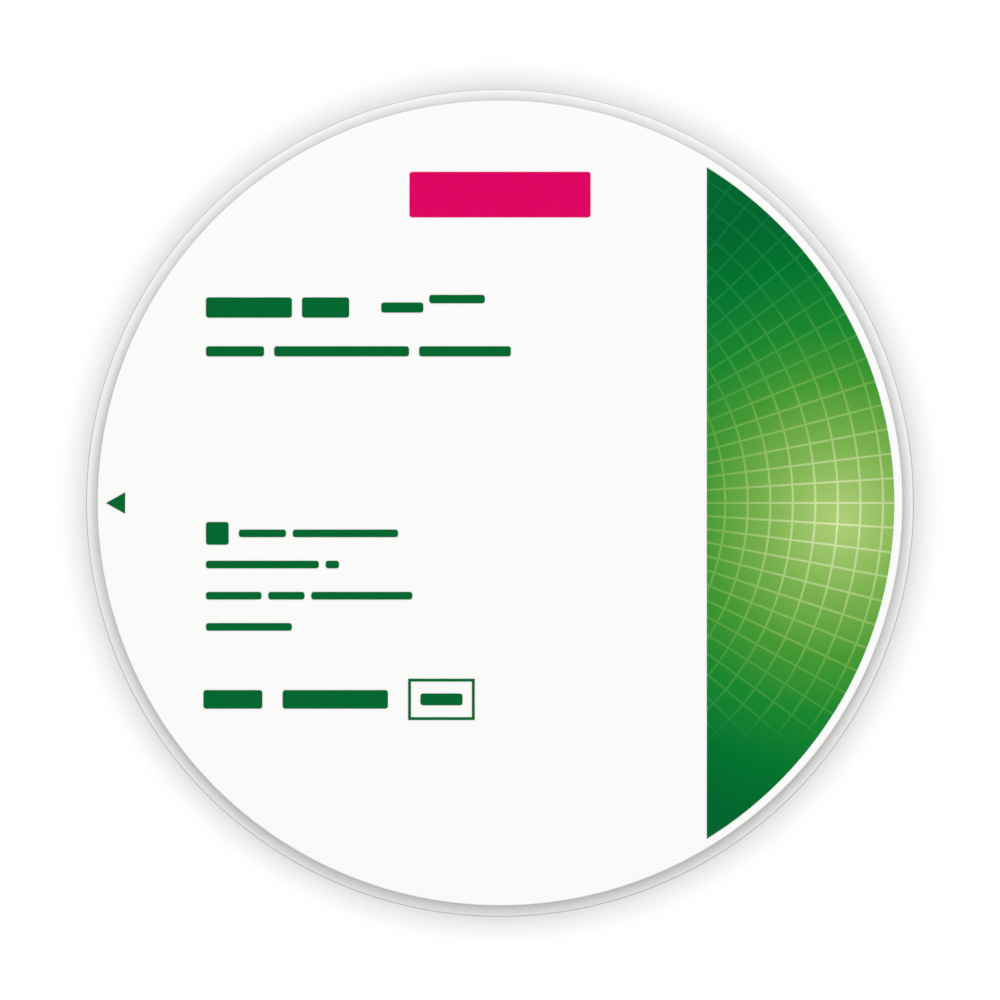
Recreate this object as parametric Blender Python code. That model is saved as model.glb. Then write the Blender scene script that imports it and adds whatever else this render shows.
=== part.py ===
"""A dental milling disc: a stepped blank of pre-sintered zirconia with ink print on its top face.

Units are metres. Z is the disc's axis, pointing up, and the disc rests on z = 0. The top of the
print points along +Y and its straight-edged green field lies at +X.
"""

import math

import bmesh
import bpy
from mathutils import Vector

# Blank
FLANGE_DIAMETER = 0.0984
FLANGE_HEIGHT = 0.010
LEDGE_WIDTH = 0.0015
STEP_HEIGHT = 0.002
EDGE_CHAMFER = 0.00025
TURNED_SEGMENTS = 144

# Print, laid out on a print circle of the layout's radius and then scaled to the face
PRINT_MARGIN = 0.00097
LAYOUT_RADIUS = 0.04679
INK_THICKNESS = 0.00005
CORNER_RADIUS = 0.0003
CORNER_STEPS = 3

# Green field between a straight edge and the print circle
FIELD_EDGE = 0.02455
FIELD_ARC_STEPS = 96

# Arrow that points outwards on the left
ARROW_LENGTH = 0.00225
ARROW_WIDTH = 0.00255
ARROW_INSET = 0.00005

# Coloured banner at the top
BANNER_WIDTH = 0.0215
BANNER_HEIGHT = 0.0054
BANNER_Y = 0.0366

# Rows of word bars, each placed by its left end and its middle
TEXT_LEFT = -0.0349
LARGE_GAP = 0.0012
SMALL_GAP = 0.0008

HEADING_Y = 0.0232
HEADING_BAR = 0.0024
HEADING_WORDS = (0.0102, 0.0056)

GRADE_LEFT = -0.0141
GRADE_BAR = 0.0012
GRADE_WORDS = (0.0050,)

RAISED_LEFT = -0.0084
RAISED_Y = 0.0242
RAISED_BAR = 0.0010
RAISED_WORDS = (0.0066,)

SUBHEADING_Y = 0.0180
SUBHEADING_BAR = 0.0012
SUBHEADING_WORDS = (0.0069, 0.0160, 0.0109)

NOTE_TOP_Y = -0.0036
NOTE_PITCH = 0.0037
NOTE_BAR = 0.0009
NOTE_BLOCK = 0.0027
NOTE_WORDS = (
    (0.0056, 0.0125),
    (0.0134, 0.0016),
    (0.0066, 0.0043, 0.0120),
    (0.0102,),
)

FOOTER_LEFT = -0.0352
FOOTER_Y = -0.0233
FOOTER_BAR = 0.0022
FOOTER_GAP = 0.0024
FOOTER_WORDS = (0.0070, 0.0125)

# Outlined box at the end of the footer, with a bar in it
BOX_WIDTH = 0.0079
BOX_HEIGHT = 0.0049
BOX_LINE = 0.00033
BOX_BAR_WIDTH = 0.0050
BOX_BAR = 0.0014

# Colours, in linear light
ZIRCONIA_WHITE = (0.89, 0.885, 0.87)
INK_GREEN = (0.003, 0.138, 0.026)
FIELD_GREEN = (0.030, 0.250, 0.040)
INK_MAGENTA = (0.715, 0.003, 0.122)

ZIRCONIA_ROUGHNESS = 0.7
INK_ROUGHNESS = 0.5


def total_height():
    return FLANGE_HEIGHT + 2 * STEP_HEIGHT


def flange_radius():
    return FLANGE_DIAMETER / 2


def face_radius():
    return flange_radius() - LEDGE_WIDTH


def print_radius():
    return face_radius() - PRINT_MARGIN


def clear_scene():
    for obj in list(bpy.data.objects):
        bpy.data.objects.remove(obj, do_unlink=True)


def new_material(name, colour, roughness):
    material = bpy.data.materials.new(name)
    material.use_nodes = True
    shader = material.node_tree.nodes["Principled BSDF"]
    shader.inputs["Base Color"].default_value = (*colour, 1.0)
    shader.inputs["Roughness"].default_value = roughness
    shader.inputs["Metallic"].default_value = 0.0
    material.diffuse_color = (*colour, 1.0)
    return material


def new_object(name, bm, material, parent=None):
    """Makes an object of the mesh and hangs it on its parent."""
    bmesh.ops.recalc_face_normals(bm, faces=bm.faces)
    mesh = bpy.data.meshes.new(name)
    bm.to_mesh(mesh)
    bm.free()
    mesh.materials.append(material)
    obj = bpy.data.objects.new(name, mesh)
    obj.parent = parent
    bpy.context.scene.collection.objects.link(obj)
    return obj


def blank_profile():
    """Half of the blank's section, from the axis on top round to the axis underneath."""
    face, flange, top = face_radius(), flange_radius(), total_height()
    upper = [
        (0, top),
        (face - EDGE_CHAMFER, top),
        (face, top - EDGE_CHAMFER),
        (face, top - STEP_HEIGHT),
        (flange - EDGE_CHAMFER, top - STEP_HEIGHT),
        (flange, top - STEP_HEIGHT - EDGE_CHAMFER),
    ]
    lower = [(radius, top - height) for radius, height in reversed(upper)]
    return upper + lower


def build_blank(material):
    """The stepped disc, turned in one piece."""
    bm = bmesh.new()
    points = [bm.verts.new((radius, 0, height)) for radius, height in blank_profile()]
    edges = [bm.edges.new(pair) for pair in zip(points, points[1:])]
    bmesh.ops.spin(
        bm,
        geom=points + edges,
        cent=(0, 0, 0),
        axis=(0, 0, 1),
        angle=2 * math.pi,
        steps=TURNED_SEGMENTS,
        use_merge=True,
    )
    bmesh.ops.remove_doubles(bm, verts=bm.verts, dist=EDGE_CHAMFER / 100)
    blank = new_object("disc_blank", bm, material)
    blank.data.shade_smooth()
    blank.data.set_sharp_from_angle(angle=math.radians(30))
    return blank


def add_print_plane():
    """An empty on the top face that carries the print and fits its layout to the face."""
    plane = bpy.data.objects.new("print_plane", None)
    plane.location.z = total_height()
    fit = print_radius() / LAYOUT_RADIUS
    plane.scale = (fit, fit, 1)
    bpy.context.scene.collection.objects.link(plane)
    return plane


def raise_ink(bm):
    """Gives the flat faces their thickness of ink."""
    raised = bmesh.ops.extrude_face_region(bm, geom=list(bm.faces))["geom"]
    top = [item for item in raised if isinstance(item, bmesh.types.BMVert)]
    bmesh.ops.translate(bm, verts=top, vec=(0, 0, INK_THICKNESS))


def arc(centre, radius, start, sweep, steps):
    """Points along an arc, with its angles in radians."""
    angles = [start + sweep * step / steps for step in range(steps + 1)]
    return [centre + radius * Vector((math.cos(a), math.sin(a))) for a in angles]


def rounded_rectangle(width, height):
    """Outline of a bar round its own centre, with its corners rounded."""
    radius = min(CORNER_RADIUS, width / 2, height / 2)
    outline = []
    for quarter, (side_x, side_y) in enumerate(((1, 1), (-1, 1), (-1, -1), (1, -1))):
        corner = Vector((side_x * (width / 2 - radius), side_y * (height / 2 - radius)))
        outline += arc(corner, radius, quarter * math.pi / 2, math.pi / 2, CORNER_STEPS)
    return outline


def print_shape(name, outline, place, material, plane):
    """One mark of ink with the given outline."""
    bm = bmesh.new()
    bm.faces.new([bm.verts.new((point.x, point.y, 0)) for point in outline])
    raise_ink(bm)
    bmesh.ops.remove_doubles(bm, verts=bm.verts, dist=INK_THICKNESS / 100)
    mark = new_object(f"print_{name}", bm, material, plane)
    mark.location = (*place, 0)
    return mark


def print_bar(name, left, middle, width, height, material, plane):
    place = (left + width / 2, middle)
    return print_shape(name, rounded_rectangle(width, height), place, material, plane)


def print_row(name, left, middle, height, gap, widths, material, plane):
    """A row of word bars from left to right. It returns where a next bar would start."""
    for number, width in enumerate(widths, start=1):
        print_bar(f"{name}_{number}", left, middle, width, height, material, plane)
        left += width + gap
    return left


def print_field(material, plane):
    """The green field: the part of the print circle beyond a straight edge."""
    half_angle = math.acos(FIELD_EDGE / LAYOUT_RADIUS)
    outline = arc(Vector((0, 0)), LAYOUT_RADIUS, -half_angle, 2 * half_angle, FIELD_ARC_STEPS)
    return print_shape("field", outline, (0, 0), material, plane)


def print_arrow(material, plane):
    """The small triangle that points at the rim."""
    tip = -(LAYOUT_RADIUS - ARROW_INSET)
    base = tip + ARROW_LENGTH
    outline = [
        Vector((tip, 0)),
        Vector((base, -ARROW_WIDTH / 2)),
        Vector((base, ARROW_WIDTH / 2)),
    ]
    return print_shape("arrow", outline, (0, 0), material, plane)


def print_box(left, material, plane):
    """The outlined box and the bar that stands in its middle."""
    bm = bmesh.new()
    across, up = BOX_WIDTH / 2, BOX_HEIGHT / 2
    corners = ((-across, -up), (across, -up), (across, up), (-across, up))
    inner = bm.faces.new([bm.verts.new((x, y, 0)) for x, y in corners])
    bm.normal_update()
    bmesh.ops.inset_region(
        bm, faces=[inner], thickness=BOX_LINE, use_boundary=True, use_even_offset=True
    )
    bmesh.ops.delete(bm, geom=[inner], context="FACES")
    raise_ink(bm)
    box = new_object("print_box", bm, material, plane)
    box.location = (left + across, FOOTER_Y, 0)
    bar_left = left + across - BOX_BAR_WIDTH / 2
    print_bar("box_bar", bar_left, FOOTER_Y, BOX_BAR_WIDTH, BOX_BAR, material, plane)


def print_notes(material, plane):
    """The four small rows, the first of which starts with a square block."""
    print_bar("note_block", TEXT_LEFT, NOTE_TOP_Y, NOTE_BLOCK, NOTE_BLOCK, material, plane)
    for number, widths in enumerate(NOTE_WORDS, start=1):
        left = TEXT_LEFT
        if number == 1:
            left += NOTE_BLOCK + LARGE_GAP
        middle = NOTE_TOP_Y - (number - 1) * NOTE_PITCH
        print_row(f"note_{number}", left, middle, NOTE_BAR, SMALL_GAP, widths, material, plane)


def build_print(green, field_green, magenta):
    plane = add_print_plane()
    print_field(field_green, plane)
    print_arrow(green, plane)
    print_bar("banner", -BANNER_WIDTH / 2, BANNER_Y, BANNER_WIDTH, BANNER_HEIGHT, magenta, plane)
    print_row("heading", TEXT_LEFT, HEADING_Y, HEADING_BAR, LARGE_GAP, HEADING_WORDS, green, plane)
    print_row("grade", GRADE_LEFT, HEADING_Y, GRADE_BAR, LARGE_GAP, GRADE_WORDS, green, plane)
    print_row("raised", RAISED_LEFT, RAISED_Y, RAISED_BAR, LARGE_GAP, RAISED_WORDS, green, plane)
    print_row(
        "subheading", TEXT_LEFT, SUBHEADING_Y, SUBHEADING_BAR, LARGE_GAP, SUBHEADING_WORDS, green, plane
    )
    print_notes(green, plane)
    box_left = print_row(
        "footer", FOOTER_LEFT, FOOTER_Y, FOOTER_BAR, FOOTER_GAP, FOOTER_WORDS, green, plane
    )
    print_box(box_left, green, plane)


def main():
    clear_scene()
    build_blank(new_material("zirconia", ZIRCONIA_WHITE, ZIRCONIA_ROUGHNESS))
    build_print(
        new_material("green_ink", INK_GREEN, INK_ROUGHNESS),
        new_material("field_ink", FIELD_GREEN, INK_ROUGHNESS),
        new_material("magenta_ink", INK_MAGENTA, INK_ROUGHNESS),
    )


main()
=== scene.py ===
import math

import bmesh
import bpy
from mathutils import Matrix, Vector


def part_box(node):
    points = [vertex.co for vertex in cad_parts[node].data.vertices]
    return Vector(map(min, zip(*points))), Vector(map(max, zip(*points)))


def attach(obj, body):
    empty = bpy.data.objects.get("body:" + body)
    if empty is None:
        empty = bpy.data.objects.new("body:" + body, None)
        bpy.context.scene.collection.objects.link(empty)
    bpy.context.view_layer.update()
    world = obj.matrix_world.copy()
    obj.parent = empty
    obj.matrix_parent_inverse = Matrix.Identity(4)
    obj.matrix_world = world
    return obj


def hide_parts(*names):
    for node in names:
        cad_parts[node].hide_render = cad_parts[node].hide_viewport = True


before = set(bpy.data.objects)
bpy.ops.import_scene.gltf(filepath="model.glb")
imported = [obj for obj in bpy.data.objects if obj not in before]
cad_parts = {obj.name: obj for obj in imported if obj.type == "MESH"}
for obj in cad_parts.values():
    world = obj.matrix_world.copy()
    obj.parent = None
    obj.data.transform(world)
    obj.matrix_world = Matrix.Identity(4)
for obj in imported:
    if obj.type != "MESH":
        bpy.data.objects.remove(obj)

# Everything is in metres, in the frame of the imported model: Z is the disc's axis and +Y the print's top.
MM = 0.001

# The camera looks straight down on the disc, whose middle lies a little under the picture's middle.
CAMERA_DISTANCE = 0.8
CAMERA_SENSOR = 36.0
CAMERA_RANGE = (0.01, 20.0)
PICTURE_WIDTH = 0.118522
PICTURE_SHIFT_Y = 0.000356

# Fine form of the blank. A point stands at the support distance on each side of a rounding, to keep
# the flats beside it flat. The raised face ends further than the ledge search from the flange's side.
FACE_EDGE_RADIUS = 0.12 * MM
FLANGE_EDGE_RADIUS = 0.25 * MM
ROOT_RADIUS = 0.10 * MM
ARC_STEPS = 6
TURNED_STEPS = 720
SUPPORT = 0.05 * MM
FACE_RING_SPACING = 9 * MM
LEDGE_SEARCH = 0.6 * MM
WELD_DISTANCE = 0.0001 * MM

# Zirconia before its final firing: chalk white, matt and very fine-grained. The turned rim carries
# painted shade: it is darker than the faces, most of all in the corner of its step, where shade falls,
# and in a painted dark line along the flange's edge. The stops run from the edge of the face, at 0, to the
# outermost side, at 1.
FACE_TONE = 0.965
RIM_TONE_AND_PAINTED_SHADE = (
    (0.000, FACE_TONE),
    (0.078, FACE_TONE),
    (0.095, 0.60),
    (0.185, 0.625),
    (0.333, 0.71),
    (0.556, 0.79),
    (0.778, 0.865),
    (0.870, 0.91),
    (0.900, 0.91),
    (0.925, 0.58),
    (0.985, 0.58),
    (0.998, 0.86),
)
CERAMIC_ROUGHNESS = 0.78
CERAMIC_SPECULAR = 0.1
CERAMIC_TINT = (1.0, 1.0, 0.993)
CLOUD_TINT = (0.985, 0.985, 0.975)
CLOUD_SIZE = 14 * MM
GRAIN_SIZE = 0.22 * MM
GRAIN_DEPTH = 0.004 * MM

# Turning marks, on the sides whose normal rises less than the limit
TURNING_PITCH = 0.32 * MM
TURNING_DEPTH = 0.006 * MM
UPRIGHT_LIMIT = 0.3

# Mottling, for the clouds, the grain and the inks alike
NOISE_DETAIL = 3.0
NOISE_ROUGHNESS = 0.55

# Printing inks. Where the film is thin, its colour has the thin share of its strength.
INK_GREEN = (0.0, 0.137, 0.029)
INK_MAGENTA = (0.745, 0.0, 0.124)
INK_THIN_SHARE = 0.94
INK_THINNEST = 0.0015
INK_COVER_SIZE = 0.8 * MM
INK_ROUGHNESS = (0.48, 0.62)
INK_SHEEN_SIZE = 1.2 * MM
INK_SPECULAR = 0.02

# Green field: a glow near the rim that falls away to dark green, under a lattice of arcs and rays
GLOW_CENTRE = (40.4 * MM, -2.1 * MM)
GLOW_REACH = 36.8 * MM
GLOW_STOPS = (
    (0.00, (0.43, 0.63, 0.18)),
    (0.25, (0.19, 0.44, 0.075)),
    (0.45, (0.055, 0.315, 0.033)),
    (0.62, (0.01, 0.24, 0.028)),
    (0.82, (0.0, 0.175, 0.028)),
    (1.00, (0.0, 0.132, 0.027)),
)
LATTICE_PITCH = 2.67 * MM
LATTICE_RAYS = 100
LATTICE_LINE = 0.24 * MM
LATTICE_BLUR = 0.05 * MM
LATTICE_STOPS = (
    (0.00, (0.73, 0.83, 0.45)),
    (0.36, (0.235, 0.48, 0.095)),
    (0.53, (0.07, 0.345, 0.048)),
    (0.74, (0.012, 0.25, 0.045)),
    (1.00, (0.002, 0.175, 0.042)),
)
LATTICE_FADE = (-28.5 * MM, -24.5 * MM)

# Light: a dome that is brightest overhead, and lamps. A lamp has a bearing from +X and a height in
# degrees, and its share of the light on a level surface.
HORIZON_LEVEL = 0.29
ZENITH_LEVEL = 1.01
LAMPS = (
    ("key_right", 66, 33, 0.105),
    ("key_left", 114, 33, 0.105),
    ("fill", 270, 22, 0.035),
)
LAMP_DISTANCE = 2.4
LAMP_SIZE = 1.2

# Floor
FLOOR_HALF = 3.0
FLOOR_COLOUR = (0.80, 0.80, 0.80)
SHADOW_REACH = 5.25 * MM
SHADOW_DEPTH = 0.90
SHADOW_FALL = 1.4
SHADOW_SAMPLES = 16


def add_node(tree, kind, inputs=None, **settings):
    """Adds a shader node. Each input is a plain value or the socket that feeds it."""
    made = tree.nodes.new(f"ShaderNode{kind}")
    for name, value in settings.items():
        setattr(made, name, value)
    for socket, value in (inputs or {}).items():
        if isinstance(value, bpy.types.NodeSocket):
            tree.links.new(value, made.inputs[socket])
        else:
            made.inputs[socket].default_value = value
    return made


def maths(tree, operation, *values):
    inputs = dict(enumerate(values))
    return add_node(tree, "Math", inputs, operation=operation).outputs[0]


def map_range(tree, value, start=0.0, end=1.0, low=0.0, high=1.0, **settings):
    """Maps a value from one range to another, and keeps it inside that one."""
    inputs = {"Value": value, "From Min": start, "From Max": end, "To Min": low, "To Max": high}
    return add_node(tree, "MapRange", inputs, **settings).outputs["Result"]


def new_material(name):
    """An empty Principled material. Returns it with its tree and its shader."""
    material = bpy.data.materials.new(name)
    material.use_nodes = True
    tree = material.node_tree
    return material, tree, tree.nodes["Principled BSDF"]


def object_point(tree):
    return add_node(tree, "TexCoord").outputs["Object"]


def noise(tree, point, size):
    """A mottling from 0 to 1 whose patches are about the given size."""
    inputs = {"Vector": point, "Scale": 1 / size, "Detail": NOISE_DETAIL, "Roughness": NOISE_ROUGHNESS}
    return add_node(tree, "TexNoise", inputs).outputs["Fac"]


def mix_colours(tree, factor, first, second):
    """Blends two colours, each a plain one or a socket."""
    made = add_node(tree, "Mix", {0: factor}, data_type="RGBA")
    for socket, colour in ((6, first), (7, second)):
        if isinstance(colour, bpy.types.NodeSocket):
            tree.links.new(colour, made.inputs[socket])
        else:
            made.inputs[socket].default_value = (*colour, 1.0)
    return made.outputs[2]


def add_grain(tree, shader, point, height):
    """Bumps the surface with the given height, in metres, on top of the ceramic's fine grain."""
    grain = maths(tree, "MULTIPLY", noise(tree, point, GRAIN_SIZE), GRAIN_DEPTH)
    total = grain if height is None else maths(tree, "ADD", grain, height)
    bump = add_node(tree, "Bump", {"Height": total, "Strength": 1.0, "Distance": 1.0})
    tree.links.new(bump.outputs["Normal"], shader.inputs["Normal"])


def flat_radius(tree, place):
    """Distance from the disc's axis, from the separated coordinates."""
    flat = add_node(tree, "CombineXYZ", {"X": place.outputs["X"], "Y": place.outputs["Y"]})
    return add_node(tree, "VectorMath", {0: flat.outputs[0]}, operation="LENGTH").outputs["Value"]


def colour_ramp(tree, value, stops):
    """A ramp through stops of a position with a colour or a plain grey."""
    ramp = add_node(tree, "ValToRGB", {"Fac": value})
    elements = ramp.color_ramp.elements
    while len(elements) < len(stops):
        elements.new(0.5)
    for element, (position, colour) in zip(elements, stops):
        element.position = position
        element.color = (*colour, 1.0) if isinstance(colour, tuple) else (colour, colour, colour, 1.0)
    return ramp.outputs["Color"]


def turning_marks(tree, height):
    """Fine rings cut into the upright sides, as a height in metres, from the height of the place."""
    turn = maths(tree, "SINE", maths(tree, "MULTIPLY", height, 2 * math.pi / TURNING_PITCH))
    facing = add_node(tree, "SeparateXYZ", {0: add_node(tree, "NewGeometry").outputs["Normal"]})
    upright = maths(tree, "LESS_THAN", maths(tree, "ABSOLUTE", facing.outputs["Z"]), UPRIGHT_LIMIT)
    return maths(tree, "MULTIPLY", maths(tree, "MULTIPLY", turn, upright), TURNING_DEPTH)


def zirconia():
    """The ceramic: a faintly cloudy white with painted shade on its rim, fine grain and turning marks."""
    material, tree, shader = new_material("zirconia")
    point = object_point(tree)
    place = add_node(tree, "SeparateXYZ", {0: point})
    face, _ = face_and_shoulder()
    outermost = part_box("disc_blank")[1].x
    across_rim = map_range(tree, flat_radius(tree, place), face - FACE_EDGE_RADIUS, outermost)
    # Painted shade: the rim is darker in the corner of its step and along the flange's edge.
    tone_and_painted_shade = colour_ramp(tree, across_rim, RIM_TONE_AND_PAINTED_SHADE)
    tint = mix_colours(tree, noise(tree, point, CLOUD_SIZE), CLOUD_TINT, CERAMIC_TINT)
    colour = add_node(tree, "VectorMath", {0: tone_and_painted_shade, 1: tint}, operation="MULTIPLY").outputs[0]
    tree.links.new(colour, shader.inputs["Base Color"])
    shader.inputs["Roughness"].default_value = CERAMIC_ROUGHNESS
    shader.inputs["Specular IOR Level"].default_value = CERAMIC_SPECULAR
    add_grain(tree, shader, point, turning_marks(tree, place.outputs["Z"]))
    return material


def ink(name, colour):
    """A film of printing ink with a soft sheen, through which the ceramic's grain shows."""
    material, tree, shader = new_material(name)
    point = object_point(tree)
    thin = tuple(channel * INK_THIN_SHARE + INK_THINNEST for channel in colour)
    cover = noise(tree, point, INK_COVER_SIZE)
    tree.links.new(mix_colours(tree, cover, thin, colour), shader.inputs["Base Color"])
    finish_ink(tree, shader, point)
    return material


def finish_ink(tree, shader, point):
    """Gives an ink its uneven sheen and the ceramic's grain."""
    shader.inputs["Specular IOR Level"].default_value = INK_SPECULAR
    smoothest, roughest = INK_ROUGHNESS
    sheen = map_range(tree, noise(tree, point, INK_SHEEN_SIZE), low=smoothest, high=roughest)
    tree.links.new(sheen, shader.inputs["Roughness"])
    add_grain(tree, shader, point, None)


def line_mask(tree, offset):
    """1 on a lattice line and 0 off it, from the distance to the line's middle."""
    half = LATTICE_LINE / 2
    outer, inner = half + LATTICE_BLUR, half - LATTICE_BLUR
    return map_range(tree, offset, outer, inner, interpolation_type="SMOOTHSTEP")


def field_ink():
    """The green field: its glow, with the lattice lying over it."""
    material, tree, shader = new_material("field_ink")
    point = object_point(tree)

    centre = (*GLOW_CENTRE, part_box("print_field")[1].z)
    away = add_node(tree, "VectorMath", {0: point, 1: centre}, operation="DISTANCE")
    share = map_range(tree, away.outputs["Value"], end=GLOW_REACH)
    glow = colour_ramp(tree, share, GLOW_STOPS)

    place = add_node(tree, "SeparateXYZ", {0: point})
    radius = flat_radius(tree, place)
    angle = maths(tree, "ARCTAN2", place.outputs["Y"], place.outputs["X"])
    off_arc = maths(tree, "PINGPONG", radius, LATTICE_PITCH / 2)
    off_ray = maths(tree, "MULTIPLY", maths(tree, "PINGPONG", angle, math.pi / LATTICE_RAYS), radius)
    lines = maths(tree, "MAXIMUM", line_mask(tree, off_arc), line_mask(tree, off_ray))
    shown = maths(tree, "MULTIPLY", lines, map_range(tree, place.outputs["Y"], *LATTICE_FADE))
    colour = mix_colours(tree, shown, glow, colour_ramp(tree, share, LATTICE_STOPS))
    tree.links.new(colour, shader.inputs["Base Color"])
    finish_ink(tree, shader, point)
    return material


def round_corner(before, corner, after, radius):
    """Points of the arc that rounds a square corner of the section."""
    into = (corner - before).normalized()
    out = (after - corner).normalized()
    centre = corner - into * radius + out * radius
    angles = [math.pi / 2 * step / ARC_STEPS for step in range(ARC_STEPS + 1)]
    return [centre + radius * (into * math.sin(a) - out * math.cos(a)) for a in angles]


def blank_section():
    """Half of the blank's section with its corners rounded, from the axis on top to the axis below."""
    low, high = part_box("disc_blank")
    top, flange = high.z, high.x
    face, shoulder = face_and_shoulder()
    corners = [
        (Vector((face, top)), FACE_EDGE_RADIUS),
        (Vector((face, shoulder)), ROOT_RADIUS),
        (Vector((flange, shoulder)), FLANGE_EDGE_RADIUS),
    ]
    corners += [(Vector((corner.x, top + low.z - corner.y)), radius) for corner, radius in reversed(corners)]
    ends = [Vector((0, top)), Vector((0, low.z))]
    places = [ends[0], *(corner for corner, _ in corners), ends[1]]
    section = [ends[0]]
    section += [Vector((radius, top)) for radius in ring_radii(face)]
    for number, (corner, radius) in enumerate(corners, start=1):
        arc = round_corner(places[number - 1], corner, places[number + 1], radius)
        section.append(arc[0] + (places[number - 1] - corner).normalized() * SUPPORT)
        section += arc
        section.append(arc[-1] + (places[number + 1] - corner).normalized() * SUPPORT)
    section += [Vector((radius, low.z)) for radius in reversed(ring_radii(face))]
    section.append(ends[1])
    return section


def ring_radii(face):
    """Radii of the rings that part the flat faces, so that no triangle runs from the axis to the rim."""
    count = int(face / FACE_RING_SPACING)
    return [FACE_RING_SPACING * number for number in range(1, count + 1)]


def face_and_shoulder():
    """The radius of the raised face and the height of the step round it, read from the CAD blank."""
    low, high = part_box("disc_blank")
    middle = (low.z + high.z) / 2
    sizes = [
        (math.hypot(vertex.co.x, vertex.co.y), vertex.co.z)
        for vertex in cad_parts["disc_blank"].data.vertices
        if vertex.co.z > middle
    ]
    shoulder = min(height for radius, height in sizes if radius < high.x - LEDGE_SEARCH)
    face = max(radius for radius, height in sizes if radius < high.x - LEDGE_SEARCH)
    return face, shoulder


def build_blank(material):
    """The blank again, with fine round edges."""
    bm = bmesh.new()
    points = [bm.verts.new((point.x, 0, point.y)) for point in blank_section()]
    edges = [bm.edges.new(pair) for pair in zip(points, points[1:])]
    bmesh.ops.spin(
        bm,
        geom=points + edges,
        cent=(0, 0, 0),
        axis=(0, 0, 1),
        angle=2 * math.pi,
        steps=TURNED_STEPS,
        use_merge=True,
    )
    bmesh.ops.remove_doubles(bm, verts=bm.verts, dist=WELD_DISTANCE)
    bmesh.ops.recalc_face_normals(bm, faces=bm.faces)
    mesh = bpy.data.meshes.new("turned_blank")
    bm.to_mesh(mesh)
    bm.free()
    mesh.shade_smooth()
    mesh.materials.append(material)
    blank = bpy.data.objects.new("turned_blank", mesh)
    bpy.context.scene.collection.objects.link(blank)
    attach(blank, "root")
    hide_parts("disc_blank")


def dress_print():
    """Gives each mark of the print its ink."""
    green = ink("green_ink", INK_GREEN)
    own_ink = {
        "print_field": field_ink(),
        "print_banner": ink("magenta_ink", INK_MAGENTA),
    }
    for name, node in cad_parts.items():
        if name.startswith("print_"):
            node.data.materials.clear()
            node.data.materials.append(own_ink.get(name, green))


def sees_white(tree):
    """1 for a ray from the camera or off a glossy or clear surface, which meets the white backdrop."""
    path = add_node(tree, "LightPath")
    indirect = maths(tree, "MAXIMUM", path.outputs["Is Glossy Ray"], path.outputs["Is Transmission Ray"])
    return maths(tree, "MAXIMUM", path.outputs["Is Camera Ray"], indirect)


def build_floor():
    """A white floor that shows pure white, darkened only close round what stands on it."""
    mesh = bpy.data.meshes.new("floor")
    corners = ((-1, -1), (1, -1), (1, 1), (-1, 1))
    mesh.from_pydata([(x * FLOOR_HALF, y * FLOOR_HALF, 0) for x, y in corners], [], [(0, 1, 2, 3)])
    floor = bpy.data.objects.new("floor", mesh)
    bpy.context.scene.collection.objects.link(floor)
    material = bpy.data.materials.new("floor")
    material.use_nodes = True
    tree = material.node_tree
    tree.nodes.clear()
    near = add_node(tree, "AmbientOcclusion", {"Distance": SHADOW_REACH}, samples=SHADOW_SAMPLES)
    hidden = maths(tree, "POWER", maths(tree, "SUBTRACT", 1.0, near.outputs["AO"]), SHADOW_FALL)
    level = maths(tree, "SUBTRACT", 1.0, maths(tree, "MULTIPLY", hidden, SHADOW_DEPTH))
    white = add_node(tree, "Emission", {"Strength": level})
    lit = add_node(tree, "BsdfDiffuse", {"Color": (*FLOOR_COLOUR, 1.0)})
    both = add_node(tree, "MixShader", {0: sees_white(tree), 1: lit.outputs[0], 2: white.outputs[0]})
    add_node(tree, "OutputMaterial", {"Surface": both.outputs[0]})
    mesh.materials.append(material)


def build_world():
    """Soft light from all round, brightest overhead, seen as plain white."""
    world = bpy.data.worlds.new("studio")
    bpy.context.scene.world = world
    world.use_nodes = True
    tree = world.node_tree
    direction = add_node(tree, "SeparateXYZ", {0: add_node(tree, "TexCoord").outputs["Generated"]})
    dome = map_range(tree, direction.outputs["Z"], low=HORIZON_LEVEL, high=ZENITH_LEVEL)
    level = add_node(tree, "Mix", {0: sees_white(tree), 2: dome, 3: 1.0}).outputs[0]
    tree.links.new(level, tree.nodes["Background"].inputs["Strength"])
    tree.nodes["Background"].inputs["Color"].default_value = (1.0, 1.0, 1.0, 1.0)


def build_lamp(name, bearing, height, share):
    """A broad lamp aimed at the disc, with the power that gives its share on a level surface."""
    turn, rise = math.radians(bearing), math.radians(height)
    lamp = bpy.data.lights.new(name, "AREA")
    lamp.shape = "DISK"
    lamp.size = LAMP_SIZE
    lamp.energy = share * (math.pi * LAMP_DISTANCE) ** 2 / math.sin(rise)
    placed = bpy.data.objects.new(name, lamp)
    across = LAMP_DISTANCE * math.cos(rise)
    placed.location = (across * math.cos(turn), across * math.sin(turn), LAMP_DISTANCE * math.sin(rise))
    placed.rotation_euler = placed.location.to_track_quat("Z", "Y").to_euler()
    bpy.context.scene.collection.objects.link(placed)


def build_camera():
    """A camera straight above, which takes in the picture's width at the height of the face."""
    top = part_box("disc_blank")[1].z
    data = bpy.data.cameras.new("camera")
    data.sensor_width = CAMERA_SENSOR
    data.lens = CAMERA_SENSOR * CAMERA_DISTANCE / PICTURE_WIDTH
    data.clip_start, data.clip_end = CAMERA_RANGE
    camera = bpy.data.objects.new("camera", data)
    camera.location = (0, PICTURE_SHIFT_Y, top + CAMERA_DISTANCE)
    bpy.context.scene.collection.objects.link(camera)
    bpy.context.scene.camera = camera


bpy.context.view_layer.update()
bpy.context.scene.view_settings.view_transform = "Standard"
build_camera()
build_world()
for lamp_settings in LAMPS:
    build_lamp(*lamp_settings)
build_floor()
build_blank(zirconia())
dress_print()
